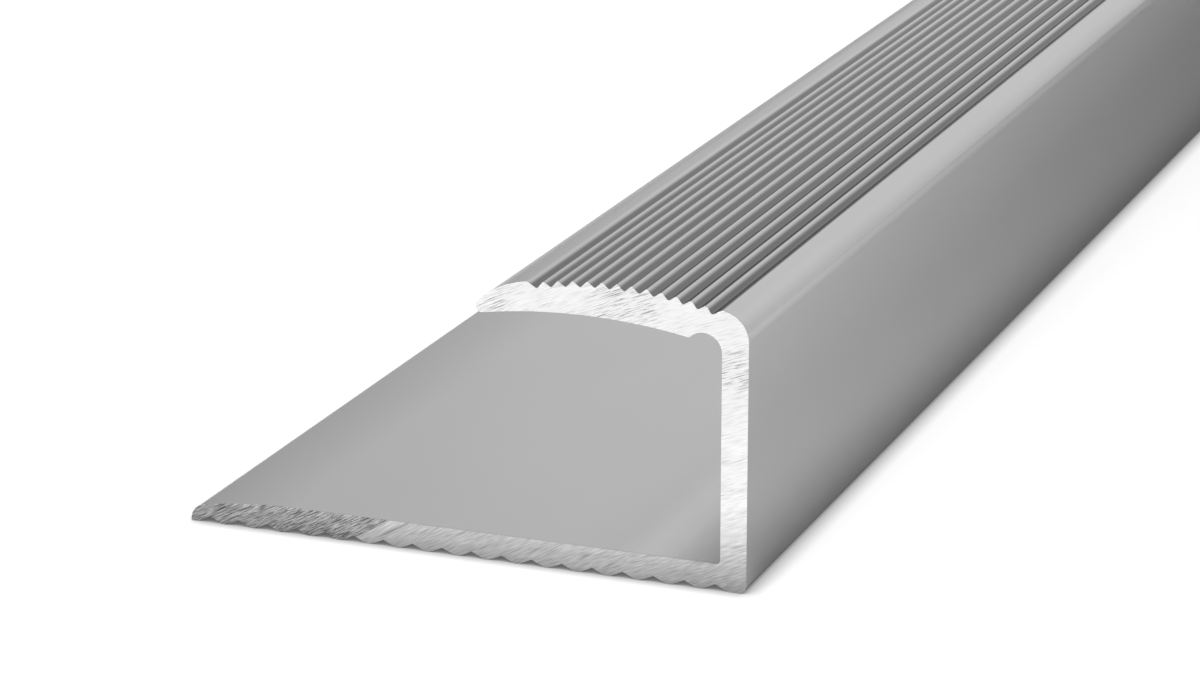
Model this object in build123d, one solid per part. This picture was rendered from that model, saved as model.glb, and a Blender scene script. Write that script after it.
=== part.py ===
from build123d import *
from math import asin, atan, cos, degrees, radians, sin, sqrt, tan
import os

# Overall sizes of the stock, in millimetres.
LENGTH = 900.0
BASE_WIDTH = 28.0
HEIGHT = 14.0
TOP_WIDTH = 13.2

# Walls.
BASE_THICK = 1.3
WEB_THICK = 1.26
TOP_THICK = 1.62

# Free edge of the base flange, which thins along an arc towards a rounded toe.
TOE_DROP = 0.56
TAPER_LENGTH = 5.5
TOE_RADIUS = 0.78
HEEL_RADIUS = 0.38
FOOT_RADIUS = 0.12

# V-shaped keys for adhesive along the underside of the base flange.
KEY_PITCH = 1.5
KEY_DEPTH = 0.3
KEY_LAND = 0.21
KEY_EDGE_RADIUS = 0.3
KEY_FIRST = 1.0
KEY_HEEL_LAND = 1.2

# Crowned upper side of the top flange, and its vaulted underside.
CROWN_RADIUS = 19.5
CROWN_FROM_FACE = 6.7
LAND_RISE = 0.1
VAULT_RADIUS = 28.8
VAULT_FROM_FACE = 8.15

# Nose at the free edge of the top flange, and corner where it meets the web.
NOSE_RADIUS = 4.07
TIP_RADIUS = 0.3
CORNER_RADIUS = 1.4

# Relief channel along the inner corner, and the tooth beside it.
RELIEF_RADIUS = 0.9
RELIEF_RISE = 0.43
TOOTH_RADIUS = 0.06

# Anti-slip grooves along the crown.
GROOVE_PITCH = 0.716
GROOVE_ANGLE = 96.0
GROOVE_RADIUS = 0.1
CORNER_LAND = 1.34
NOSE_LAND = 2.6

# Places that follow from the sizes: the section is drawn with X across and Y up.
TOE_X = -BASE_WIDTH / 2
FACE_X = BASE_WIDTH / 2
WEB_X = FACE_X - WEB_THICK
CROWN_CENTRE = Vector(FACE_X - CROWN_FROM_FACE, HEIGHT - CROWN_RADIUS)
SKIN_RADIUS = CROWN_RADIUS + LAND_RISE
VAULT_CENTRE = Vector(FACE_X - VAULT_FROM_FACE, HEIGHT - TOP_THICK - VAULT_RADIUS)


def height_on(centre, radius, x):
    """Height of the upper half of a circle at one place across the section."""
    return centre.Y + sqrt(radius**2 - (x - centre.X) ** 2)


def on_ray(centre, through, distance):
    """Point at a distance from a centre, on the ray through another point."""
    return centre + (through - centre).normalized() * distance


def crossing(centre_a, radius_a, centre_b, radius_b):
    """Point where two circles cross, to the left of the line from a to b."""
    span = centre_b - centre_a
    along = (span.length**2 + radius_a**2 - radius_b**2) / (2 * span.length)
    across = sqrt(radius_a**2 - along**2)
    forward = span.normalized()
    return centre_a + forward * along + forward.rotate(Axis.Z, 90) * across


def crown_point(radius, angle):
    """Point about the crown's centre, at an angle turned from upright towards the web."""
    return CROWN_CENTRE + Vector(sin(angle), cos(angle)) * radius


def crown_angle(x):
    """Angle about the crown's centre, from upright, of a place across the section."""
    return asin((x - CROWN_CENTRE.X) / CROWN_RADIUS)


def nose_edges():
    """Rounded tip and nose arc, from the vault up to the crown, and their two ends."""
    tip_x = FACE_X - TOP_WIDTH + TIP_RADIUS
    tip = Vector(tip_x, height_on(VAULT_CENTRE, VAULT_RADIUS + TIP_RADIUS, tip_x))
    nose = crossing(tip, NOSE_RADIUS - TIP_RADIUS, CROWN_CENTRE, SKIN_RADIUS - NOSE_RADIUS)
    low = on_ray(VAULT_CENTRE, tip, VAULT_RADIUS)
    shoulder = on_ray(nose, tip, NOSE_RADIUS)
    high = on_ray(CROWN_CENTRE, nose, SKIN_RADIUS)
    far_left = tip - Vector(TIP_RADIUS, 0)
    middle = on_ray(nose, (shoulder + high) / 2, NOSE_RADIUS)
    edges = [ThreePointArc(low, far_left, shoulder), ThreePointArc(shoulder, middle, high)]
    return edges, low, high


def corner_edges(crown_start):
    """Crown arc from the nose, the outer corner arc, and the corner's lower end."""
    centre_x = FACE_X - CORNER_RADIUS
    centre = Vector(centre_x, height_on(CROWN_CENTRE, SKIN_RADIUS - CORNER_RADIUS, centre_x))
    start = on_ray(CROWN_CENTRE, centre, SKIN_RADIUS)
    end = centre + Vector(CORNER_RADIUS, 0)
    middle = on_ray(centre, (start + end) / 2, CORNER_RADIUS)
    crown = ThreePointArc(crown_start, CROWN_CENTRE + Vector(0, SKIN_RADIUS), start)
    return [crown, ThreePointArc(start, middle, end)], end


def relief_edges(vault_end):
    """Relief arc from the web over to the tooth, the vault beyond it, and the two corners."""
    centre_x = WEB_X - RELIEF_RADIUS
    vault_height = height_on(VAULT_CENTRE, VAULT_RADIUS, centre_x)
    centre = Vector(centre_x, vault_height + RELIEF_RISE - RELIEF_RADIUS)
    start = centre + Vector(RELIEF_RADIUS, 0)
    tooth = crossing(VAULT_CENTRE, VAULT_RADIUS, centre, RELIEF_RADIUS)
    relief = ThreePointArc(start, centre + Vector(0, RELIEF_RADIUS), tooth)
    middle = on_ray(VAULT_CENTRE, (tooth + vault_end) / 2, VAULT_RADIUS)
    return [relief, ThreePointArc(tooth, middle, vault_end)], start, tooth


def rounded(face, points, radius):
    """Face with the corners that lie at the given points rounded."""
    return fillet([face.vertices().sort_by_distance(point)[0] for point in points], radius)


def base_edges(face_top, web_top):
    """Outer face, plain underside, toe, arc of the taper and inner side of the web."""
    toe_high = Vector(TOE_X, BASE_THICK - TOE_DROP)
    taper_end = Vector(TOE_X + TAPER_LENGTH, BASE_THICK)
    outside = Polyline(face_top, (FACE_X, 0), (TOE_X, 0), toe_high)
    taper = TangentArc(taper_end, toe_high, tangent=(-1, 0))
    inside = Polyline(taper_end, (WEB_X, BASE_THICK), web_top)
    return [*outside.edges(), taper, *inside.edges()]


def plain_section():
    """Section before its grooves and keys, with toe, heel, foot and tooth rounded."""
    tip, vault_end, crown_start = nose_edges()
    crown, face_top = corner_edges(crown_start)
    relief, web_top, tooth = relief_edges(vault_end)
    section = make_face([*tip, *crown, *base_edges(face_top, web_top), *relief])
    toe_thick = BASE_THICK - TOE_DROP
    section = rounded(section, [Vector(TOE_X, toe_thick)], min(TOE_RADIUS, 1.1 * toe_thick))
    section = rounded(section, [Vector(FACE_X, 0)], HEEL_RADIUS)
    section = rounded(section, [Vector(WEB_X, BASE_THICK)], FOOT_RADIUS)
    return rounded(section, [tooth], TOOTH_RADIUS)


def cut_keys(section):
    """Section with the row of keys cut into its underside and their edges rounded."""
    half_mouth = (KEY_PITCH - KEY_LAND) / 2
    count = int((BASE_WIDTH - KEY_FIRST - KEY_HEEL_LAND) / KEY_PITCH) + 1
    places = [TOE_X + KEY_FIRST + index * KEY_PITCH for index in range(count)]
    for x in places:
        left, right = Vector(x - 2 * half_mouth, -KEY_DEPTH), Vector(x + 2 * half_mouth, -KEY_DEPTH)
        section -= make_face(Polyline(left, Vector(x, KEY_DEPTH), right, close=True))
    mouths = [Vector(x + side * half_mouth, 0) for x in places for side in (-1, 1)]
    widest = 0.45 * KEY_LAND / tan(atan(KEY_DEPTH / half_mouth) / 2)
    return rounded(section, mouths, min(KEY_EDGE_RADIUS, widest))


def cut_grooves(section):
    """Section with the V-grooves cut into its crown, their roots and crests rounded."""
    step = GROOVE_PITCH / CROWN_RADIUS
    last_edge = crown_angle(FACE_X - CORNER_LAND)
    first_edge = crown_angle(FACE_X - TOP_WIDTH + NOSE_LAND)
    count = int((last_edge - first_edge) / step)
    angles = [last_edge - (index + 0.5) * step for index in range(count)]
    half_angle = radians(GROOVE_ANGLE / 2)
    flank = radians(90) - half_angle
    crest = CROWN_RADIUS + GROOVE_RADIUS * (1 / cos(flank + step / 2) - 1)
    root = crest * (cos(step / 2) - sin(step / 2) * tan(flank))
    rise = SKIN_RADIUS - root + LAND_RISE
    for angle in angles:
        mouth = Vector(rise * tan(half_angle), rise)
        groove = make_face(Polyline(mouth, Vector(0, 0), Vector(-mouth.X, rise), close=True))
        section -= Pos(crown_point(root, angle)) * Rot(0, 0, -degrees(angle)) * groove
    roots = [crown_point(root, angle) for angle in angles]
    crests = [crown_point(crest, angle + step / 2) for angle in angles[1:]]
    lands = [crown_point(SKIN_RADIUS, angle) for angle in (angles[0] + step / 2, angles[-1] - step / 2)]
    return rounded(section, roots + crests + lands, GROOVE_RADIUS)


section = cut_grooves(cut_keys(plain_section()))
profile = extrude(Plane.XZ * section, LENGTH / 2, both=True)
os.makedirs("parts", exist_ok=True)
export_step(profile, "parts/trim_profile.step")
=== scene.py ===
from math import asin, ceil, cos, pi, radians, sin, sqrt, tan

import bpy
from bpy.props import FloatProperty, FloatVectorProperty, PointerProperty
from bpy.types import Operator, Panel, PropertyGroup
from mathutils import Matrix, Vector


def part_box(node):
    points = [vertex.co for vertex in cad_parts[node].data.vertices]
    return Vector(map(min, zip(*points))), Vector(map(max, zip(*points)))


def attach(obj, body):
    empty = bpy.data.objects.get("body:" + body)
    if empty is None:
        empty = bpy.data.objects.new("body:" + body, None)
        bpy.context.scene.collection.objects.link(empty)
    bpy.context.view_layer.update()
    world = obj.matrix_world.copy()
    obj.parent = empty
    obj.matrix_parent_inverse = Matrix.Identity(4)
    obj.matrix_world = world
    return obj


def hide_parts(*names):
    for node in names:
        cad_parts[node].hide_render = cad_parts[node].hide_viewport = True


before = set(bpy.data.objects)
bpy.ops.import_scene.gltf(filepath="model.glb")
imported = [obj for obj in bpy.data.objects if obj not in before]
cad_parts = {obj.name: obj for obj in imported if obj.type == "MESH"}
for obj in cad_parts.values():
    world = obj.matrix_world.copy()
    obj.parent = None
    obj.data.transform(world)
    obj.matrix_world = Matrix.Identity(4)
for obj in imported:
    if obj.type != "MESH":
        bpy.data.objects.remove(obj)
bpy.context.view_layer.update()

bl_info = {
    "name": "Edge Trim Profile",
    "version": (1, 0, 0),
    "blender": (4, 5, 0),
    "location": "3D View > Sidebar > Edge Trim",
    "description": "Draws, extrudes and finishes a length of grooved floor end profile",
    "category": "Add Mesh",
}

MM = 0.001
NODE = "trim_profile"
BODY = "root"
STOCK_LOW, STOCK_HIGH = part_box(NODE)

# Largest radius of the toe, against the base flange's thickness there.
TOE_FULLNESS = 1.1

# How squarely a face must face along the stock to be a sawn end.
END_FACING = 0.999

# Edges that turn by less than this are shaded smooth.
SMOOTH_BELOW = radians(25.0)

# How deep the die lines are, against the hairlines among them.
DIE_DEPTH = 3.0

# All the values from here to the first function are in millimetres, as in the materials.

# Depth over which the painted shade in a groove sets in, and how far under its root that painted shade is
# still full and is gone.
GROOVE_DARKENS_OVER = 0.15
GROOVE_DARK_TO = 0.3
GROOVE_DARK_GONE = 0.6

# Places where the saw scuffed the cut: across, up and reach.
SCUFFS = ((1.7, 12.9, 1.4), (8.0, 12.8, 2.6), (13.4, 10.6, 1.6))

# Heights on the cut: where its painted shade towards the floor would be darkest, up to where its strokes
# show most, and between which it is painted paler towards the top flange, as painted light.
DARKEST_SHADE_HEIGHT = -1.0
STROKES_SHOW_TO = 1.2
FLANGE_HEIGHTS = (11.0, 12.6)

# Edge of the torn cut: how far it strays, and half the width that it blends over.
TORN_STRAY = 0.04
TORN_BLEND = 0.03

# Pale smear before the torn cut: its width, and how much of it blends into the bright cut.
SMEAR_WIDTH = 0.5
SMEAR_BLEND = 0.06

# Dark score in the smear: how far it lies before the torn cut, how far it reaches to each side,
# how much of that is full, and the heights over which it sets in.
SCORE_INSET = 0.48
SCORE_REACH = 0.09
SCORE_CORE = 0.02
SCORE_HEIGHTS = (0.3, 0.6)

# The floor's painted glow in the metal sets in over these stretches across: beside the web, and farther
# out on both sides. Beside the web it fades again, over a stretch behind the near end.
BESIDE_ACROSS = (20.0, 85.0)
FAR_ACROSS = (60.0, 240.0)
BESIDE_FADES = (30.0, 330.0)

# Place on the floor that the lamps are aimed at: across, and behind the near end.
LAMP_AIM = (10.0, 30.0)


def length_of(name, millimetres, description):
    """A size that a user may change, given in millimetres and held in metres."""
    return FloatProperty(
        name=name, description=description, default=millimetres * MM, min=0.0, precision=5, unit="LENGTH"
    )


def amount_of(name, value, description):
    """A plain number that a user may change."""
    return FloatProperty(name=name, description=description, default=value, precision=3)


def colour_of(name, value, description):
    """A colour that a user may change."""
    return FloatVectorProperty(
        name=name, description=description, default=value, min=0.0, max=1.0, subtype="COLOR", size=3
    )


def turn_of(name, degrees, description):
    """An angle that a user may change, given in degrees."""
    return FloatProperty(name=name, description=description, default=radians(degrees), subtype="ANGLE")


def place_of_lamp(name, millimetres, description):
    """A lamp's place that a user may change, given in millimetres and held in metres."""
    place = tuple(part * MM for part in millimetres)
    return FloatVectorProperty(
        name=name, description=description, default=place, subtype="XYZ", unit="LENGTH", size=3
    )


class TrimSection(PropertyGroup):
    """Sizes of the section, and the length that is sawn off."""

    length: length_of("Length", (STOCK_HIGH.y - STOCK_LOW.y) / MM, "Length of the stock")
    base_width: length_of("Base width", (STOCK_HIGH.x - STOCK_LOW.x) / MM, "Width of the base flange")
    height: length_of("Height", 14.0, "Height of the crown above the underside")
    top_width: length_of("Top width", 13.2, "Width of the top flange")
    base_thick: length_of("Base thickness", 1.3, "Thickness of the base flange")
    web_thick: length_of("Web thickness", 1.26, "Thickness of the upright web")
    top_thick: length_of("Top thickness", 1.62, "Thickness of the top flange at the middle")
    toe_drop: length_of("Toe drop", 0.56, "How much thinner the base flange is at its toe")
    taper_length: length_of("Taper length", 5.5, "Width of the base flange that thins to the toe")
    toe_radius: length_of("Toe radius", 0.78, "Radius of the toe's upper edge")
    heel_radius: length_of("Heel radius", 0.38, "Radius under the web")
    foot_radius: length_of("Foot radius", 0.12, "Radius inside the web's foot")
    key_pitch: length_of("Key pitch", 1.5, "Spacing of the adhesive keys")
    key_depth: length_of("Key depth", 0.3, "Depth of the adhesive keys")
    key_land: length_of("Key land", 0.21, "Flat left between two keys")
    key_edge_radius: length_of("Key edge radius", 0.3, "Rounding of the keys' mouths")
    key_first: length_of("First key", 1.0, "Toe to the first key's root")
    key_heel_land: length_of("Heel land", 1.2, "Least flat left beside the heel")
    crown_radius: length_of("Crown radius", 19.5, "Radius over the groove crests")
    crown_from_face: length_of("Crown centre", 6.7, "Outer face to the crown's centre")
    land_rise: length_of("Land rise", 0.1, "How far the plain lands stand above the crests")
    vault_radius: length_of("Vault radius", 28.8, "Radius under the top flange")
    vault_from_face: length_of("Vault centre", 8.15, "Outer face to the vault's centre")
    nose_radius: length_of("Nose radius", 4.07, "Radius over the nose")
    tip_radius: length_of("Tip radius", 0.3, "Radius of the nose's tip")
    corner_radius: length_of("Corner radius", 1.4, "Radius of the outer corner")
    relief_radius: length_of("Relief radius", 0.9, "Radius of the channel in the inner corner")
    relief_rise: length_of("Relief rise", 0.43, "How far the channel cuts above the vault")
    tooth_radius: length_of("Tooth radius", 0.06, "Rounding of the tooth beside the channel")
    groove_pitch: length_of("Groove pitch", 0.716, "Spacing of the grooves along the crown")
    groove_radius: length_of("Groove radius", 0.1, "Rounding of roots and crests")
    corner_land: length_of("Corner land", 1.34, "Outer face to the first groove")
    nose_land: length_of("Nose land", 2.6, "Nose tip to the last groove, at least")
    groove_angle: turn_of("Groove angle", 96.0, "Angle between a groove's two sides")
    saw_break: length_of("Saw break", 0.006, "Width of the edge that the saw breaks")


class TrimFinish(PropertyGroup):
    """Anodised skin and sawn ends."""

    skin_colour: colour_of("Skin colour", (0.5, 0.5, 0.5), "Colour of the anodised skin")
    skin_glance: colour_of("Skin glance", (0.85, 0.85, 0.85), "Tone of the skin seen at a glancing angle")
    skin_roughness: amount_of("Skin roughness", 0.2, "Roughness of the anodised skin")
    # Painted shade: the grooves are painted darker than the crests, where the crown would shade them.
    painted_groove_shade: amount_of("Groove shade", 0.68, "How much darker the grooves are than the crests")
    groove_dulling: amount_of("Groove dulling", 0.1, "How much rougher the grooves are than the crests")
    # Painted light: the skin is painted paler in the slot's foot, where it would lie in shade.
    painted_foot_light: amount_of("Foot paling", 0.68, "How much paler the skin is in the slot's foot")
    painted_light_reach: length_of("Foot reach", 5.5, "How far from the slot's foot the skin is paler")
    sawn_colour: colour_of("Sawn colour", (0.94, 0.94, 0.94), "Colour of the bare sawn metal")
    sawn_roughness: amount_of("Sawn roughness", 0.42, "Roughness of the sawn ends")
    saw_across: length_of("Saw across", 52.0, "Place of the saw's hub across the section")
    saw_below: length_of("Saw below", 93.0, "Depth of the saw's hub under the floor")
    saw_radius: length_of("Saw radius", 110.0, "Radius of the saw's strokes")
    stray_scuffs: amount_of("Stray scuffs", 0.5, "How strong scratches are outside the scuffed places")
    scratch_shade: amount_of("Scratch shade", 0.62, "How much darker the scratches are")
    low_contrast: amount_of("Low contrast", 0.21, "How far the strokes stray in tone at the cut's foot")
    contrast: amount_of("Contrast", 0.12, "How far the strokes stray in tone on the bright cut")
    # Painted shade: the cut is painted darker towards the floor, up to the dull height.
    floor_shade_height: length_of("Dull height", 4.6, "Height that the cut is bright from")
    painted_floor_shade: amount_of("Dull tone", 0.38, "Tone of the cut below the underside, against the bright cut")
    # Painted light: the cut is painted paler across the top flange.
    painted_flange_light: amount_of("Flange paling", 0.05, "How much paler the cut is across the top flange")
    torn_from: length_of("Torn from", 109.5, "Distance from the hub that the cut is torn from")
    torn_height: length_of("Torn height", 1.6, "Height that the torn cut reaches")
    torn_shade: amount_of("Torn shade", 0.04, "How much darker the torn cut is")
    tear_shade: amount_of("Tear shade", 0.7, "How much darker the tears are than the torn cut")
    tear_turn: turn_of("Tear turn", 28.0, "Slope of the tears")
    smear_paling: amount_of("Smear paling", 0.08, "How much paler the smear before the torn cut is")
    score_shade: amount_of("Score shade", 0.35, "How much darker the score in the smear is")


class TrimStage(PropertyGroup):
    """Camera, floor and light."""

    camera_across: length_of("Camera across", 69.12, "Camera's place across the section")
    camera_before: length_of("Camera before", 161.74, "Camera's distance before the near end")
    camera_height: length_of("Camera height", 64.68, "Camera's height above the floor")
    camera_turn: turn_of("Camera turn", 21.041, "Turn from the stock's length")
    camera_pitch: turn_of("Camera pitch", 17.083, "Pitch below level")
    focal_length: amount_of("Focal length", 120.464, "Focal length in millimetres on a 36 mm sensor")
    floor_size: length_of("Floor size", 40000.0, "Side of the floor")
    floor_colour: colour_of("Floor colour", (0.9, 0.9, 0.9), "Colour of the floor")
    floor_glow: amount_of("Floor glow", 0.88, "What the floor adds to its light to be white to the camera")
    floor_seen: amount_of("Floor seen", 0.25, "Share of the floor's own light that the camera sees")
    contact_reach: length_of("Contact reach", 1.0, "How far from the stock its contact shadow reaches")
    contact_depth: amount_of("Contact depth", 1.1, "How dark the contact shadow is")
    contact_least: amount_of("Contact least", 0.12, "What the darkest shadow leaves of the floor's white")
    # Painted light: these glows show in the metal only, as pools of light on the floor.
    near_glow: amount_of("Near glow", 0.7, "What the floor beside the near end adds in the web")
    far_glow: amount_of("Far glow", 0.78, "What the floor farther out on the web's side adds in the metal")
    toe_glow: amount_of("Toe side glow", 0.3, "What the floor out on the toe's side adds in the metal")
    even_light: amount_of("Even light", 0.06, "Strength of the light from all round")
    side_light: amount_of("Side light", 0.25, "Strength of the band above the horizon, all round")
    band_least: amount_of("Band least", 0.3, "Share of the band's light that is left below its foot")
    band_foot: turn_of("Band foot", -5.0, "Tilt from which the band brightens")
    band_tilt: turn_of("Band tilt", 30.0, "Tilt at which the band is brightest")
    band_top: turn_of("Band top", 60.0, "Tilt at which the band has faded")
    sheet_light: amount_of("Sheet light", 0.795, "Strength of the bright sheet behind the stock")
    sheet_turn: turn_of("Sheet turn", 5.0, "Bearing of the bright sheet, from the stock's length")
    sheet_width: turn_of("Sheet width", 53.0, "Half the width that the bright sheet fades over")
    sheet_tilt: turn_of("Sheet tilt", 21.0, "Tilt up to which the sheet is bright")
    sheet_top: turn_of("Sheet top", 62.0, "Tilt at which the sheet has faded")
    near_place: place_of_lamp("Near lamp place", (0.0, -500.0, 120.0), "Place of the nearest lamp")
    near_size: length_of("Near lamp size", 43.0, "Width of the nearest lamp")
    near_power: amount_of("Near lamp power", 0.135, "Power of the nearest lamp")
    toe_place: place_of_lamp("Toe lamp place", (-200.0, -400.0, 250.0), "Place of the toe side's lamp")
    toe_size: length_of("Toe lamp size", 98.0, "Width of the toe side's lamp")
    toe_power: amount_of("Toe lamp power", 0.35, "Power of the toe side's lamp")
    box_place: place_of_lamp("Side box place", (-700.0, -230.0, 430.0), "Place of the softbox")
    box_size: length_of("Side box size", 383.0, "Width of the softbox")
    box_power: amount_of("Side box power", 1.53, "Power of the softbox")


def height_on(centre, radius, across):
    """Height of the upper half of a circle at one place across the section."""
    return centre.y + sqrt(radius**2 - (across - centre.x) ** 2)


def on_ray(centre, through, distance):
    """Point at a distance from a centre, on the ray through another point."""
    return centre + (through - centre).normalized() * distance


def crossing(centre_a, radius_a, centre_b, radius_b):
    """Point where two circles cross, to the left of the line from a to b."""
    span = centre_b - centre_a
    along = (span.length_squared + radius_a**2 - radius_b**2) / (2 * span.length)
    forward = span.normalized()
    leftward = Vector((-forward.y, forward.x))
    return centre_a + forward * along + leftward * sqrt(radius_a**2 - along**2)


class SectionPlan:
    """Centres and meeting points of the section, as (across, up) pairs in metres."""

    def __init__(self, sizes):
        self.sizes = sizes
        self.toe_x = -sizes.base_width / 2
        self.face_x = sizes.base_width / 2
        self.web_x = self.face_x - sizes.web_thick
        self.near_y = -sizes.length / 2
        self.plan_crown()
        self.plan_nose()
        self.plan_corner()
        self.plan_relief()
        self.plan_toe()
        self.plan_grooves()

    def plan_crown(self):
        """Centres of the crown and of the vault under it."""
        sizes = self.sizes
        self.crown = Vector((self.face_x - sizes.crown_from_face, sizes.height - sizes.crown_radius))
        self.skin_radius = sizes.crown_radius + sizes.land_rise
        vault_x = self.face_x - sizes.vault_from_face
        self.vault = Vector((vault_x, sizes.height - sizes.top_thick - sizes.vault_radius))

    def plan_nose(self):
        """Tip and nose arcs, which touch the vault, each other and the crown's skin."""
        sizes = self.sizes
        tip_x = self.face_x - sizes.top_width + sizes.tip_radius
        tip_orbit = sizes.vault_radius + sizes.tip_radius
        self.tip = Vector((tip_x, height_on(self.vault, tip_orbit, tip_x)))
        nose_orbit = self.skin_radius - sizes.nose_radius
        self.nose = crossing(self.tip, sizes.nose_radius - sizes.tip_radius, self.crown, nose_orbit)
        self.nose_top = on_ray(self.crown, self.nose, self.skin_radius)
        self.nose_low = on_ray(self.nose, self.tip, sizes.nose_radius)
        self.tip_low = on_ray(self.vault, self.tip, sizes.vault_radius)

    def plan_corner(self):
        """Outer corner arc, which touches the outer face and the crown's skin."""
        radius = self.sizes.corner_radius
        corner_x = self.face_x - radius
        self.corner = Vector((corner_x, height_on(self.crown, self.skin_radius - radius, corner_x)))
        self.corner_top = on_ray(self.crown, self.corner, self.skin_radius)
        self.corner_low = self.corner + Vector((radius, 0))

    def plan_relief(self):
        """Relief channel in the inner corner, and the tooth where it meets the vault."""
        sizes = self.sizes
        relief_x = self.web_x - sizes.relief_radius
        vault_height = height_on(self.vault, sizes.vault_radius, relief_x)
        self.relief = Vector((relief_x, vault_height + sizes.relief_rise - sizes.relief_radius))
        self.relief_end = self.relief + Vector((sizes.relief_radius, 0))
        self.tooth = crossing(self.vault, sizes.vault_radius, self.relief, sizes.relief_radius)

    def plan_toe(self):
        """Arc of the base flange's taper, level where it starts, and the toe's own arc."""
        sizes = self.sizes
        run, drop = sizes.taper_length, sizes.toe_drop
        taper_radius = (run**2 + drop**2) / (2 * drop)
        self.taper_start = Vector((self.toe_x + run, sizes.base_thick))
        self.taper = self.taper_start - Vector((0, taper_radius))
        radius = min(sizes.toe_radius, TOE_FULLNESS * (sizes.base_thick - drop))
        toe_x = self.toe_x + radius
        self.toe = Vector((toe_x, height_on(self.taper, taper_radius - radius, toe_x)))
        self.taper_end = on_ray(self.taper, self.toe, taper_radius)
        self.toe_side = self.toe - Vector((radius, 0))

    def plan_grooves(self):
        """Pitch angle, depths and number of the grooves along the crown."""
        sizes = self.sizes
        self.step = sizes.groove_pitch / sizes.crown_radius
        self.last_edge = self.crown_angle(self.face_x - sizes.corner_land)
        first_edge = self.crown_angle(self.face_x - sizes.top_width + sizes.nose_land)
        self.groove_count = int((self.last_edge - first_edge) / self.step)
        self.flank = pi / 2 - sizes.groove_angle / 2
        lift = sizes.groove_radius * (1 / cos(self.flank + self.step / 2) - 1)
        self.crest_radius = sizes.crown_radius + lift
        slope = cos(self.step / 2) - sin(self.step / 2) * tan(self.flank)
        self.root_radius = self.crest_radius * slope

    def crown_angle(self, across):
        """Angle about the crown's centre, from upright, of a place across the section."""
        return asin((across - self.crown.x) / self.sizes.crown_radius)

    def crown_point(self, radius, angle):
        """Point about the crown's centre, at an angle turned from upright towards the web."""
        return self.crown + Vector((sin(angle), cos(angle))) * radius

    def root(self, index):
        """Root of one groove, counted from the web."""
        return self.crown_point(self.root_radius, self.last_edge - (index + 0.5) * self.step)

    def crest(self, index):
        """Crest between one groove and the next, before it is rounded."""
        return self.crown_point(self.crest_radius, self.last_edge - (index + 1) * self.step)

    def land_edge(self, index, side):
        """Place where an outermost groove's side runs out on the crown's skin."""
        rise = self.root_radius * sin(self.flank)
        climb = sqrt(rise**2 - self.root_radius**2 + self.skin_radius**2) - rise
        angle = self.last_edge - (index + 0.5) * self.step
        level = Vector((cos(angle), -sin(angle))) * side
        outward = Vector((sin(angle), cos(angle)))
        return self.root(index) + (level * cos(self.flank) + outward * sin(self.flank)) * climb


def deselect_everything():
    """Leaves edit mode and deselects every object."""
    if bpy.context.object and bpy.context.object.mode != "OBJECT":
        bpy.ops.object.mode_set(mode="OBJECT")
    bpy.ops.object.select_all(action="DESELECT")


class Pen:
    """Draws one stretch of the outline in edit mode, each move extruding the last vertex."""

    FACET_ANGLE = radians(3.0)
    FACET_LENGTH = 0.4 * MM

    def __init__(self, name, start, level_y):
        deselect_everything()
        self.level_y = level_y
        self.place = start
        bpy.ops.mesh.primitive_plane_add(size=MM, location=(start.x, level_y, start.y))
        self.piece = bpy.context.object
        self.piece.name = name
        bpy.ops.object.mode_set(mode="EDIT")
        bpy.ops.mesh.select_all(action="SELECT")
        bpy.ops.mesh.merge(type="CENTER")

    def line(self, *points):
        """Draws straight on through the points."""
        for point in points:
            move = point - self.place
            bpy.ops.mesh.extrude_vertices_move(TRANSFORM_OT_translate={"value": (move.x, 0, move.y)})
            self.place = point

    def arc(self, centre, end, turn):
        """Draws round a centre to the end point: turn is 1 leftward and -1 rightward."""
        before, after = self.place - centre, end - centre
        angle = abs(before.angle_signed(after))
        length = angle * before.length
        steps = max(2, ceil(angle / self.FACET_ANGLE), ceil(length / self.FACET_LENGTH))
        middle = (centre.x, self.level_y, centre.y)
        bpy.ops.mesh.spin(steps=steps, angle=turn * angle, center=middle, axis=(0, 1, 0))
        self.place = end

    def lift(self):
        """Leaves edit mode and puts the drawn stretch's place into its mesh."""
        bpy.ops.object.mode_set(mode="OBJECT")
        bpy.ops.object.transform_apply(location=True, rotation=True, scale=True)
        return self.piece


def draw_keys(plan):
    """Row of adhesive keys along the underside: one is drawn and repeated by an array."""
    sizes = plan.sizes
    half_mouth = (sizes.key_pitch - sizes.key_land) / 2
    count = int((sizes.base_width - sizes.key_first - sizes.key_heel_land) / sizes.key_pitch) + 1
    root_x = plan.toe_x + sizes.key_first
    start = Vector((root_x - sizes.key_pitch / 2, 0))
    mouths = [Vector((root_x + side * half_mouth, 0)) for side in (-1, 1)]
    pen = Pen("keys", start, plan.near_y)
    pen.line(mouths[0], Vector((root_x, sizes.key_depth)), mouths[1])
    pen.line(start + Vector((sizes.key_pitch, 0)))
    keys = pen.lift()
    round_corners(keys, mouths, sizes.key_edge_radius, segments=5)
    array = keys.modifiers.new("row of keys", "ARRAY")
    array.count = count
    array.use_relative_offset = False
    array.use_constant_offset = True
    array.constant_offset_displace = (sizes.key_pitch, 0, 0)
    bpy.ops.object.modifier_apply(modifier=array.name)
    return keys, start, start + Vector((count * sizes.key_pitch, 0))


def draw_inner_grooves(plan):
    """Grooves between the two outermost: one is drawn and spun about the crown's centre."""
    pen = Pen("grooves", plan.crest(0), plan.near_y)
    pen.line(plan.root(1), plan.crest(1))
    bpy.ops.mesh.select_all(action="SELECT")
    copies = plan.groove_count - 3
    middle = (plan.crown.x, plan.near_y, plan.crown.y)
    bpy.ops.mesh.spin(
        steps=copies, dupli=True, angle=copies * plan.step, center=middle, axis=(0, 1, 0)
    )
    return pen.lift()


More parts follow.
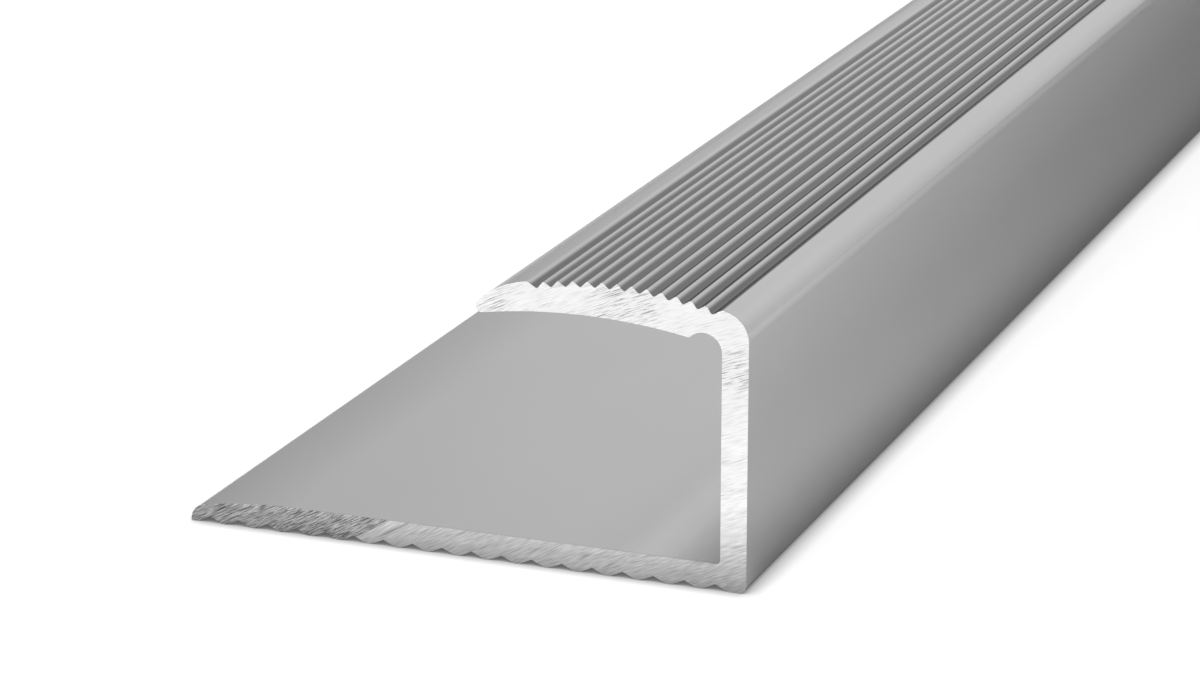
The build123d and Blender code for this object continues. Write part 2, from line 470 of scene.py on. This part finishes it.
def draw_face_side(plan, start):
    """Heel, outer face, corner and crown land, down into the first groove and up its far side."""
    pen = Pen("face_side", start, plan.near_y)
    pen.line(Vector((plan.face_x, 0)), plan.corner_low)
    pen.arc(plan.corner, plan.corner_top, 1)
    pen.arc(plan.crown, plan.land_edge(0, 1), 1)
    pen.line(plan.root(0), plan.crest(0))
    return pen.lift()


def draw_slot_side(plan, end):
    """Last groove, nose, vault, relief channel, web, base top and toe, back to the underside."""
    last = plan.groove_count - 1
    pen = Pen("slot_side", plan.crest(last - 1), plan.near_y)
    pen.line(plan.root(last), plan.land_edge(last, -1))
    pen.arc(plan.crown, plan.nose_top, 1)
    pen.arc(plan.nose, plan.nose_low, 1)
    pen.arc(plan.tip, plan.tip_low, 1)
    pen.arc(plan.vault, plan.tooth, -1)
    pen.arc(plan.relief, plan.relief_end, -1)
    pen.line(Vector((plan.web_x, plan.sizes.base_thick)), plan.taper_start)
    pen.arc(plan.taper, plan.taper_end, 1)
    pen.arc(plan.toe, plan.toe_side, 1)
    pen.line(Vector((plan.toe_x, 0)), end)
    return pen.lift()


def place_of(vertex):
    """A vertex's place across the section."""
    return Vector((vertex.co.x, vertex.co.z))


def turn_at(mesh, vertex):
    """Angle that the outline turns through at one of its vertices."""
    here = place_of(vertex)
    beside = [set(edge.vertices) - {vertex.index} for edge in mesh.edges if vertex.index in edge.vertices]
    ways = [(place_of(mesh.vertices[other.pop()]) - here).normalized() for other in beside]
    return pi - ways[0].angle(ways[1])


def round_corners(piece, corners, radius, segments):
    """Rounds the outline's corners that lie at the given places, all of which turn alike."""
    mesh = piece.data
    chosen = [min(mesh.vertices, key=lambda v: (place_of(v) - corner).length) for corner in corners]
    setback = radius * tan(turn_at(mesh, chosen[0]) / 2)
    wanted = {vertex.index for vertex in chosen}
    bpy.ops.object.mode_set(mode="EDIT")
    bpy.ops.mesh.select_all(action="DESELECT")
    bpy.ops.mesh.select_mode(type="VERT")
    bpy.ops.object.mode_set(mode="OBJECT")
    for vertex in mesh.vertices:
        vertex.select = vertex.index in wanted
    bpy.ops.object.mode_set(mode="EDIT")
    bpy.ops.mesh.bevel(offset=setback, segments=segments, affect="VERTICES", clamp_overlap=False)
    bpy.ops.object.mode_set(mode="OBJECT")


def join_stretches(stretches, name):
    """Joins the drawn stretches into one closed outline."""
    deselect_everything()
    for stretch in stretches:
        stretch.select_set(True)
    bpy.context.view_layer.objects.active = stretches[0]
    bpy.ops.object.join()
    piece = bpy.context.object
    piece.name = name
    bpy.ops.object.mode_set(mode="EDIT")
    bpy.ops.mesh.select_all(action="SELECT")
    bpy.ops.mesh.remove_doubles(threshold=0.002 * MM)
    bpy.ops.object.mode_set(mode="OBJECT")
    if len(piece.data.edges) != len(piece.data.vertices):
        raise RuntimeError("the section's outline isn't one closed loop")
    return piece


def draw_section(plan):
    """Whole outline of the section, with every corner rounded."""
    sizes = plan.sizes
    keys, toe_end, heel_end = draw_keys(plan)
    face_side = draw_face_side(plan, heel_end)
    slot_side = draw_slot_side(plan, toe_end)
    section = join_stretches([keys, face_side, draw_inner_grooves(plan), slot_side], NODE + "_finished")
    last = plan.groove_count - 1
    roots = [plan.root(index) for index in range(last + 1)]
    crests = [plan.crest(index) for index in range(last)]
    round_corners(section, [Vector((plan.face_x, 0))], sizes.heel_radius, segments=12)
    round_corners(section, [Vector((plan.web_x, sizes.base_thick))], sizes.foot_radius, segments=6)
    round_corners(section, [plan.tooth], sizes.tooth_radius, segments=5)
    round_corners(section, roots, sizes.groove_radius, segments=8)
    round_corners(section, crests, sizes.groove_radius, segments=8)
    round_corners(section, [plan.land_edge(0, 1)], sizes.groove_radius, segments=5)
    round_corners(section, [plan.land_edge(last, -1)], sizes.groove_radius, segments=5)
    return section


def select_ends(mesh):
    """Selects the two sawn faces by the way they face."""
    bpy.ops.mesh.select_all(action="DESELECT")
    bpy.ops.mesh.select_mode(type="FACE")
    bpy.ops.object.mode_set(mode="OBJECT")
    for face in mesh.polygons:
        face.select = abs(face.normal.y) > END_FACING
    bpy.ops.object.mode_set(mode="EDIT")


def extrude_stock(section, sizes):
    """Fills the outline, extrudes it to its length and breaks the sawn edges."""
    bpy.ops.object.mode_set(mode="EDIT")
    bpy.ops.mesh.select_all(action="SELECT")
    bpy.ops.transform.translate(value=(0, sizes.saw_break, 0))
    bpy.ops.mesh.edge_face_add()
    run = sizes.length - 2 * sizes.saw_break
    bpy.ops.mesh.extrude_region_move(TRANSFORM_OT_translate={"value": (0, run, 0)})
    bpy.ops.mesh.select_all(action="SELECT")
    bpy.ops.mesh.normals_make_consistent(inside=False)
    select_ends(section.data)
    section.active_material_index = 1
    bpy.ops.object.material_slot_assign()
    bpy.ops.mesh.inset(thickness=sizes.saw_break, depth=sizes.saw_break)
    bpy.ops.object.mode_set(mode="OBJECT")


def smooth_stock(piece):
    """Shades the round stretches smooth and keeps the flats flat."""
    bpy.ops.object.shade_smooth_by_angle(angle=SMOOTH_BELOW)
    weighting = piece.modifiers.new("flats kept flat", "WEIGHTED_NORMAL")
    weighting.mode = "FACE_AREA"
    weighting.weight = 50
    weighting.keep_sharp = True
    bpy.ops.object.modifier_apply(modifier=weighting.name)


class Tree:
    """Adds and joins the nodes of one material, group or world."""

    def __init__(self, tree):
        self.tree = tree

    def feed(self, node, inputs):
        """Sets each named input of a node to a value, or joins the socket that feeds it."""
        for socket, value in inputs.items():
            if isinstance(value, bpy.types.NodeSocket):
                self.tree.links.new(value, node.inputs[socket])
            else:
                node.inputs[socket].default_value = value
        return node

    def add(self, kind, inputs, **settings):
        """Adds a node with its settings and inputs."""
        node = self.tree.nodes.new("ShaderNode" + kind)
        for name, value in settings.items():
            setattr(node, name, value)
        return self.feed(node, inputs)

    def maths(self, operation, first, second=0.0):
        """Result of one sum on two numbers."""
        return self.add("Math", {0: first, 1: second}, operation=operation).outputs[0]

    def step(self, value, start, end, before=0.0, after=1.0):
        """Smooth step from one amount to another, between two levels of a value."""
        levels = {"Value": value, "From Min": start, "From Max": end, "To Min": before, "To Max": after}
        return self.add("MapRange", levels, interpolation_type="SMOOTHSTEP").outputs["Result"]

    def product(self, first, *others):
        """Product of all the factors."""
        for other in others:
            first = self.maths("MULTIPLY", first, other)
        return first

    def swing(self, level, spread, amount, middle=1.0):
        """Value that strays by an amount from its middle, as a level strays by a spread from a half."""
        stray = self.step(level, 0.5 - spread, 0.5 + spread, -1.0, 1.0)
        return self.maths("ADD", middle, self.maths("MULTIPLY", stray, amount))

    def lessened(self, mask, share):
        """Factor that takes a share away where the mask is 1, and nothing where it is 0."""
        return self.maths("SUBTRACT", 1.0, self.maths("MULTIPLY", mask, share))

    def raised(self, mask, share):
        """Factor that adds a share where the mask is 1, and nothing where it is 0."""
        return self.maths("ADD", 1.0, self.maths("MULTIPLY", mask, share))

    def way_from(self, centre, across, up):
        """Way from a centre to a place on the section: across, up and straight."""
        sideways = self.maths("SUBTRACT", across, centre[0])
        upward = self.maths("SUBTRACT", up, centre[1])
        squares = [self.maths("MULTIPLY", part, part) for part in (sideways, upward)]
        straight = self.maths("SQRT", self.maths("ADD", *squares))
        return sideways, upward, straight

    def patch(self, centre, across, up, reach, core=0.4):
        """Soft round patch on the section: 0 beyond its reach, and 1 in its core, a share of its reach."""
        return self.step(self.way_from(centre, across, up)[2], reach, core * reach)

    def turned(self, across, up, angle):
        """Places on the section in a frame turned by an angle: Y runs along its slope."""
        beside = self.maths(
            "SUBTRACT", self.maths("MULTIPLY", up, cos(angle)), self.maths("MULTIPLY", across, sin(angle))
        )
        along = self.maths(
            "ADD", self.maths("MULTIPLY", across, cos(angle)), self.maths("MULTIPLY", up, sin(angle))
        )
        return self.add("CombineXYZ", {"X": beside, "Y": along}).outputs[0]

    def scaled(self, vector, factor):
        """A vector times a number."""
        return self.add("VectorMath", {0: vector, "Scale": factor}, operation="SCALE").outputs["Vector"]

    def place(self):
        """Place on the piece, in millimetres."""
        return self.scaled(self.add("TexCoord", {}).outputs["Object"], 1 / MM)

    def parts(self, vector, names):
        """The named parts of a vector, such as XZ for across and up."""
        outputs = self.add("SeparateXYZ", {0: vector}).outputs
        return [outputs[name] for name in names]

    def lines(self, place, width, length, seed, threshold=0.5, softness=0.2):
        """The drawn lines group, placed with its own values."""
        values = {
            "Vector": place,
            "Width": width,
            "Length": length,
            "Threshold": threshold,
            "Softness": softness,
            "Seed": seed,
        }
        return self.add("Group", values, node_tree=drawn_lines()).outputs


def new_material(name):
    """A material, its tree and its Principled shader."""
    material = bpy.data.materials.new(name)
    material.use_nodes = True
    return material, Tree(material.node_tree), material.node_tree.nodes["Principled BSDF"]


def drawn_lines():
    """Node group for lines that run along Y: die lines on the skin, strokes and tears on the cut."""
    name = "Drawn Lines"
    if name in bpy.data.node_groups:
        return bpy.data.node_groups[name]
    group = bpy.data.node_groups.new(name, "ShaderNodeTree")
    group.interface.new_socket("Vector", in_out="INPUT", socket_type="NodeSocketVector")
    for socket in ("Width", "Length", "Threshold", "Softness", "Seed"):
        group.interface.new_socket(socket, in_out="INPUT", socket_type="NodeSocketFloat")
    for socket in ("Lines", "Level"):
        group.interface.new_socket(socket, in_out="OUTPUT", socket_type="NodeSocketFloat")
    tree = Tree(group)
    given = group.nodes.new("NodeGroupInput").outputs
    cell = tree.add("CombineXYZ", {"X": given["Width"], "Y": given["Length"], "Z": given["Width"]})
    stretched = tree.add("VectorMath", {0: given["Vector"], 1: cell.outputs[0]}, operation="DIVIDE")
    pattern = {"Vector": stretched.outputs[0], "W": given["Seed"], "Scale": 1.0, "Detail": 2.0}
    level = tree.add("TexNoise", pattern, noise_dimensions="4D").outputs["Fac"]
    start = tree.maths("SUBTRACT", given["Threshold"], given["Softness"])
    end = tree.maths("ADD", given["Threshold"], given["Softness"])
    result = group.nodes.new("NodeGroupOutput")
    tree.feed(result, {"Lines": tree.step(level, start, end), "Level": level})
    return group


def groove_depth(tree, plan, across, up):
    """How deep in a groove a place on the crown is: 0 on the crests and lands, 1 at the roots.

    The mask carries the painted shade in the grooves. The outer sides of the two outermost grooves
    run out on the lands, so there that painted shade starts half the lands' rise above the crests.
    """
    radius = tree.way_from((plan.crown.x / MM, plan.crown.y / MM), across, up)[2]
    crest = plan.sizes.crown_radius / MM
    root = plan.root_radius / MM
    half_rise = plan.sizes.land_rise / 2 / MM
    last = plan.groove_count - 1
    past_first = tree.maths("GREATER_THAN", across, plan.root(0).x / MM)
    past_last = tree.maths("LESS_THAN", across, plan.root(last).x / MM)
    rise = tree.maths("MULTIPLY", tree.maths("ADD", past_first, past_last), half_rise)
    top = tree.maths("ADD", rise, crest)
    deep = tree.step(radius, top, tree.maths("SUBTRACT", top, GROOVE_DARKENS_OVER))
    near_skin = tree.step(radius, root - GROOVE_DARK_GONE, root - GROOVE_DARK_TO)
    before_corner = tree.maths("LESS_THAN", across, plan.land_edge(0, 1).x / MM)
    behind_nose = tree.maths("GREATER_THAN", across, plan.land_edge(last, -1).x / MM)
    return tree.product(deep, near_skin, before_corner, behind_nose)


def foot_light_mask(tree, plan, across, up, reach):
    """Soft mask of the slot's foot, on its own faces only: 1 where the base meets the web. It carries the
    painted light that makes the skin paler there.
    """
    sizes = plan.sizes
    inside = tree.maths("LESS_THAN", across, (plan.web_x + sizes.web_thick / 2) / MM)
    above = tree.maths("GREATER_THAN", up, sizes.base_thick / 2 / MM)
    foot = (plan.web_x / MM, sizes.base_thick / MM)
    return tree.product(tree.patch(foot, across, up, reach / MM, core=0.1), inside, above)


def anodised_finish(finish, plan):
    """Satin silver anodising over the fine lines that the die leaves along the stock."""
    material, tree, shader = new_material("satin anodised aluminium")
    place = tree.place()
    across, up = tree.parts(place, "XZ")
    die = tree.lines(place, width=0.22, length=70.0, seed=1.0)["Level"]
    hairline = tree.lines(place, width=0.05, length=18.0, seed=2.0)["Level"]
    haze = tree.lines(place, width=9.0, length=30.0, seed=3.0)["Level"]
    groove = groove_depth(tree, plan, across, up)
    foot = foot_light_mask(tree, plan, across, up, finish.painted_light_reach)
    tone = tree.product(
        tree.swing(haze, spread=0.3, amount=0.025),
        tree.swing(die, spread=0.2, amount=0.01),
        # Painted shade: the grooves are painted darker.
        tree.lessened(groove, finish.painted_groove_shade),
        # Painted light: the slot's foot is painted paler.
        tree.raised(foot, finish.painted_foot_light),
    )
    colour = tree.scaled(finish.skin_colour, tone)
    gloss = tree.swing(die, spread=0.2, amount=0.015, middle=finish.skin_roughness)
    gloss = tree.maths("ADD", gloss, tree.maths("MULTIPLY", groove, finish.groove_dulling))
    height = tree.maths("ADD", tree.maths("MULTIPLY", die, DIE_DEPTH), hairline)
    relief = {"Height": height, "Strength": 0.04, "Distance": 0.004 * MM}
    normal = tree.add("Bump", relief).outputs["Normal"]
    tree.feed(shader, {"Base Color": colour, "Roughness": gloss, "Normal": normal, "Metallic": 1.0})
    tree.feed(shader, {"Specular Tint": (*finish.skin_glance, 1.0)})
    return material


def scuff_marks(tree, finish, swept, across, up):
    """Mask of the saw's scratches: full in the scuffed places, and in fainter clusters elsewhere."""
    scratches = tree.lines(swept, width=0.036, length=1.1, seed=5.0, threshold=0.57, softness=0.04)
    clusters = tree.lines(swept, width=0.6, length=2.0, seed=4.0, threshold=0.52, softness=0.1)
    strength = tree.maths("MULTIPLY", clusters["Lines"], finish.stray_scuffs)
    for *centre, reach in SCUFFS:
        strength = tree.maths("MAXIMUM", strength, tree.patch(centre, across, up, reach))
    return tree.maths("MULTIPLY", scratches["Lines"], strength)


def slanted_tears(tree, finish, across, up):
    """Mask of the tears in the torn cut, wide and thin."""
    slanted = tree.turned(across, up, finish.tear_turn)
    wide = tree.lines(slanted, width=0.037, length=1.1, seed=8.0, threshold=0.58, softness=0.045)
    thin = tree.lines(slanted, width=0.026, length=0.8, seed=9.0, threshold=0.56, softness=0.045)
    return tree.maths("MAXIMUM", wide["Lines"], thin["Lines"])


def sawn_finish(finish):
    """Bright bare metal with the strokes of the saw, torn at the toe, and painted darker towards the floor
    as painted shade.
    """
    material, tree, shader = new_material("sawn aluminium")
    across, up = tree.parts(tree.place(), "XZ")
    hub = (finish.saw_across / MM, -finish.saw_below / MM)
    beside_hub, over_hub, radius = tree.way_from(hub, across, up)
    turn = tree.maths("ARCTAN2", over_hub, beside_hub)
    sweep = tree.maths("MULTIPLY", turn, finish.saw_radius / MM)
    swept = tree.add("CombineXYZ", {"X": radius, "Y": sweep}).outputs[0]
    bands = tree.lines(swept, width=0.6, length=12.0, seed=7.0)["Level"]
    strokes = tree.lines(swept, width=0.05, length=0.8, seed=6.0)["Level"]
    scratched = scuff_marks(tree, finish, swept, across, up)

    low = tree.maths("LESS_THAN", up, finish.torn_height / MM)
    edge = finish.torn_from / MM
    ragged = tree.maths("ADD", radius, tree.swing(strokes, spread=0.2, amount=TORN_STRAY, middle=0.0))
    torn = tree.maths("MULTIPLY", low, tree.step(ragged, edge - TORN_BLEND, edge + TORN_BLEND))
    tears = tree.maths("MULTIPLY", torn, slanted_tears(tree, finish, across, up))
    smear_edge = edge - SMEAR_WIDTH
    beside = tree.maths("MULTIPLY", low, tree.step(radius, smear_edge, smear_edge + SMEAR_BLEND))
    smeared = tree.maths("SUBTRACT", beside, torn)
    from_score = tree.maths("ABSOLUTE", tree.maths("SUBTRACT", radius, edge - SCORE_INSET))
    score = tree.product(
        tree.step(from_score, SCORE_REACH, SCORE_CORE), tree.step(up, *SCORE_HEIGHTS), low
    )

    bright_from = finish.floor_shade_height / MM
    contrast = tree.step(up, STROKES_SHOW_TO, bright_from, finish.low_contrast, finish.contrast)
    tone = tree.product(
        # Painted shade: darker towards the floor.
        tree.step(up, DARKEST_SHADE_HEIGHT, bright_from, finish.painted_floor_shade, 1.0),
        # Painted light: paler across the top flange.
        tree.raised(tree.step(up, *FLANGE_HEIGHTS), finish.painted_flange_light),
        tree.swing(bands, spread=0.15, amount=0.02),
        tree.swing(strokes, spread=0.2, amount=contrast),
        tree.lessened(scratched, finish.scratch_shade),
        tree.lessened(torn, finish.torn_shade),
        tree.lessened(tears, finish.tear_shade),
        tree.raised(smeared, finish.smear_paling),
        tree.lessened(score, finish.score_shade),
    )
    colour = tree.scaled(finish.sawn_colour, tone)
    gloss = tree.swing(bands, spread=0.2, amount=0.04, middle=finish.sawn_roughness)
    height = tree.maths("MULTIPLY", tears, -1.0)
    relief = {"Height": height, "Strength": 0.4, "Distance": 0.02 * MM}
    normal = tree.add("Bump", relief).outputs["Normal"]
    tree.feed(shader, {"Base Color": colour, "Roughness": gloss, "Normal": normal, "Metallic": 1.0})
    return material


class TRIM_OT_profile(Operator):
    """Draws the section, extrudes it to its length and finishes its surfaces"""

    bl_idname = "trim.profile"
    bl_label = "Edge Trim Profile"
    bl_options = {"REGISTER", "UNDO"}

    def execute(self, context):
        sizes = context.scene.trim_section
        finish = context.scene.trim_finish
        plan = SectionPlan(sizes)
        profile = draw_section(plan)
        profile.data.name = profile.name
        profile.data.materials.append(anodised_finish(finish, plan))
        profile.data.materials.append(sawn_finish(finish))
        extrude_stock(profile, sizes)
        smooth_stock(profile)
        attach(profile, BODY)
        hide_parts(NODE)
        return {"FINISHED"}


class TRIM_OT_stage(Operator):
    """Adds the floor, the studio's light and the camera"""

    bl_idname = "trim.stage"
    bl_label = "Stage"
    bl_options = {"REGISTER", "UNDO"}

    def execute(self, context):
        stage = context.scene.trim_stage
        add_floor(stage)
        add_world(context.scene, stage)
        near_lamp = add_lamp("near_lamp", stage.near_place, stage.near_size, stage.near_power)
        # Its own image would burn out in the crown, so this lamp lights the floor alone.
        near_lamp.visible_glossy = False
        add_lamp("toe_lamp", stage.toe_place, stage.toe_size, stage.toe_power)
        add_lamp("side_box", stage.box_place, stage.box_size, stage.box_power)
        add_camera(context.scene, stage)
        context.scene.view_settings.view_transform = "Standard"
        return {"FINISHED"}


def add_floor(stage):
    """Plain pale floor that the stock lies on, white to the camera and pale in the metal, where it also
    glows with painted light by place.
    """
    deselect_everything()
    bpy.ops.mesh.primitive_plane_add(size=stage.floor_size, location=(0, 0, 0))
    floor = bpy.context.object
    floor.name = "studio_floor"
    material, tree, shader = new_material("pale floor")
    ray = tree.add("LightPath", {}).outputs
    seen = ray["Is Camera Ray"]
    mirrored = tree.maths("MAXIMUM", ray["Is Glossy Ray"], ray["Is Transmission Ray"])
    lit = contact_shadow(tree, stage)
    seen_glow = tree.product(lit, seen, stage.floor_glow)
    mirrored_glow = tree.maths("MULTIPLY", mirrored, floor_in_metal(tree, stage))
    seen_tone = tree.maths("MULTIPLY", lit, stage.floor_seen)
    tone = tree.lessened(seen, tree.maths("SUBTRACT", 1.0, seen_tone))
    shader.inputs["Roughness"].default_value = 1.0
    shader.inputs["Specular IOR Level"].default_value = 0.0
    shader.inputs["Emission Color"].default_value = (1, 1, 1, 1)
    tree.feed(shader, {"Base Color": tree.scaled(stage.floor_colour, tone)})
    tree.feed(shader, {"Emission Strength": tree.maths("ADD", seen_glow, mirrored_glow)})
    floor.data.materials.append(material)


def contact_shadow(tree, stage):
    """What the stock's contact shadow leaves of the floor's white: 1 clear of the stock."""
    reach = {"Distance": stage.contact_reach}
    open_sky = tree.add("AmbientOcclusion", reach, samples=8).outputs["AO"]
    left = tree.maths("POWER", open_sky, stage.contact_depth)
    left = tree.maths("MULTIPLY", left, 1.0 - stage.contact_least)
    return tree.maths("ADD", left, stage.contact_least)


def floor_in_metal(tree, stage):
    """Painted light that the floor glows with in the metal only, by the place on it: beside the near end,
    and farther out.
    """
    across, along = tree.parts(tree.place(), "XY")
    behind = tree.maths("SUBTRACT", along, STOCK_LOW.y / MM)
    falling = tree.step(behind, *BESIDE_FADES, stage.near_glow, 0.0)
    beside = tree.maths("MULTIPLY", tree.step(across, *BESIDE_ACROSS), falling)
    web_side = tree.step(across, *FAR_ACROSS, 0.0, stage.far_glow)
    toe_side = tree.step(across, *[-reach for reach in FAR_ACROSS], 0.0, stage.toe_glow)
    return tree.maths("ADD", beside, tree.maths("ADD", web_side, toe_side))


def add_world(scene, stage):
    """Pale surroundings: a soft band above the horizon, brightest behind the stock."""
    world = bpy.data.worlds.new("studio")
    world.use_nodes = True
    tree = Tree(world.node_tree)
    way = tree.add("TexCoord", {}).outputs["Generated"]
    rise = tree.parts(way, "Z")[0]
    level = tree.add("VectorMath", {0: way, 1: (1, 1, 0)}, operation="MULTIPLY").outputs["Vector"]
    level = tree.add("VectorMath", {0: level}, operation="NORMALIZE").outputs["Vector"]
    behind = (sin(stage.sheet_turn), cos(stage.sheet_turn), 0)
    facing = tree.add("VectorMath", {0: level, 1: behind}, operation="DOT_PRODUCT").outputs["Value"]
    sheet = tree.product(
        tree.step(facing, cos(stage.sheet_width), 1.0),
        tree.step(rise, sin(stage.sheet_tilt), sin(stage.sheet_top), 1.0, 0.0),
        stage.sheet_light,
    )
    band = tree.product(
        tree.step(rise, sin(stage.band_foot), sin(stage.band_tilt), stage.band_least, 1.0),
        tree.step(rise, sin(stage.band_tilt), sin(stage.band_top), 1.0, 0.0),
        stage.side_light,
    )
    light = tree.maths("ADD", tree.maths("ADD", sheet, band), stage.even_light)
    background = world.node_tree.nodes["Background"]
    background.inputs["Color"].default_value = (1, 1, 1, 1)
    tree.feed(background, {"Strength": light})
    scene.world = world


def add_lamp(name, place, size, power):
    """Round soft lamp, aimed at the floor beside the near end."""
    deselect_everything()
    bpy.ops.object.light_add(type="AREA", location=place)
    lamp = bpy.context.object
    lamp.name = name
    lamp.data.shape = "DISK"
    lamp.data.size = size
    lamp.data.energy = power
    lamp.visible_camera = False
    aim = Vector((LAMP_AIM[0] * MM, STOCK_LOW.y + LAMP_AIM[1] * MM, 0))
    lamp.rotation_euler = (aim - Vector(place)).to_track_quat("-Z", "Y").to_euler()
    return lamp


def add_camera(scene, stage):
    """Camera as the photograph has it."""
    deselect_everything()
    near_y = STOCK_LOW.y - stage.camera_before
    place = (stage.camera_across, near_y, stage.camera_height)
    turned = (pi / 2 - stage.camera_pitch, 0, stage.camera_turn)
    bpy.ops.object.camera_add(location=place, rotation=turned)
    camera = bpy.context.object
    camera.name = "studio_camera"
    camera.data.lens = stage.focal_length
    camera.data.clip_start = 0.01
    camera.data.clip_end = 100
    scene.camera = camera


class TRIM_PT_panel(Panel):
    """Lists the steps that make the profile and its stage"""

    bl_idname = "TRIM_PT_panel"
    bl_label = "Edge Trim Profile"
    bl_space_type = "VIEW_3D"
    bl_region_type = "UI"
    bl_category = "Edge Trim"

    def draw(self, context):
        for operator in (TRIM_OT_profile, TRIM_OT_stage):
            self.layout.operator(operator.bl_idname)


CLASSES = (TrimSection, TrimFinish, TrimStage, TRIM_OT_profile, TRIM_OT_stage, TRIM_PT_panel)


def register():
    """Registers the classes and hangs the settings on the scene."""
    for cls in CLASSES:
        bpy.utils.register_class(cls)
    bpy.types.Scene.trim_section = PointerProperty(type=TrimSection)
    bpy.types.Scene.trim_finish = PointerProperty(type=TrimFinish)
    bpy.types.Scene.trim_stage = PointerProperty(type=TrimStage)


def unregister():
    """Takes the settings and the classes away again."""
    del bpy.types.Scene.trim_stage
    del bpy.types.Scene.trim_finish
    del bpy.types.Scene.trim_section
    for cls in reversed(CLASSES):
        bpy.utils.unregister_class(cls)


def main():
    """Makes the profile and the stage."""
    register()
    bpy.ops.trim.profile()
    bpy.ops.trim.stage()


if __name__ == "__main__":
    main()
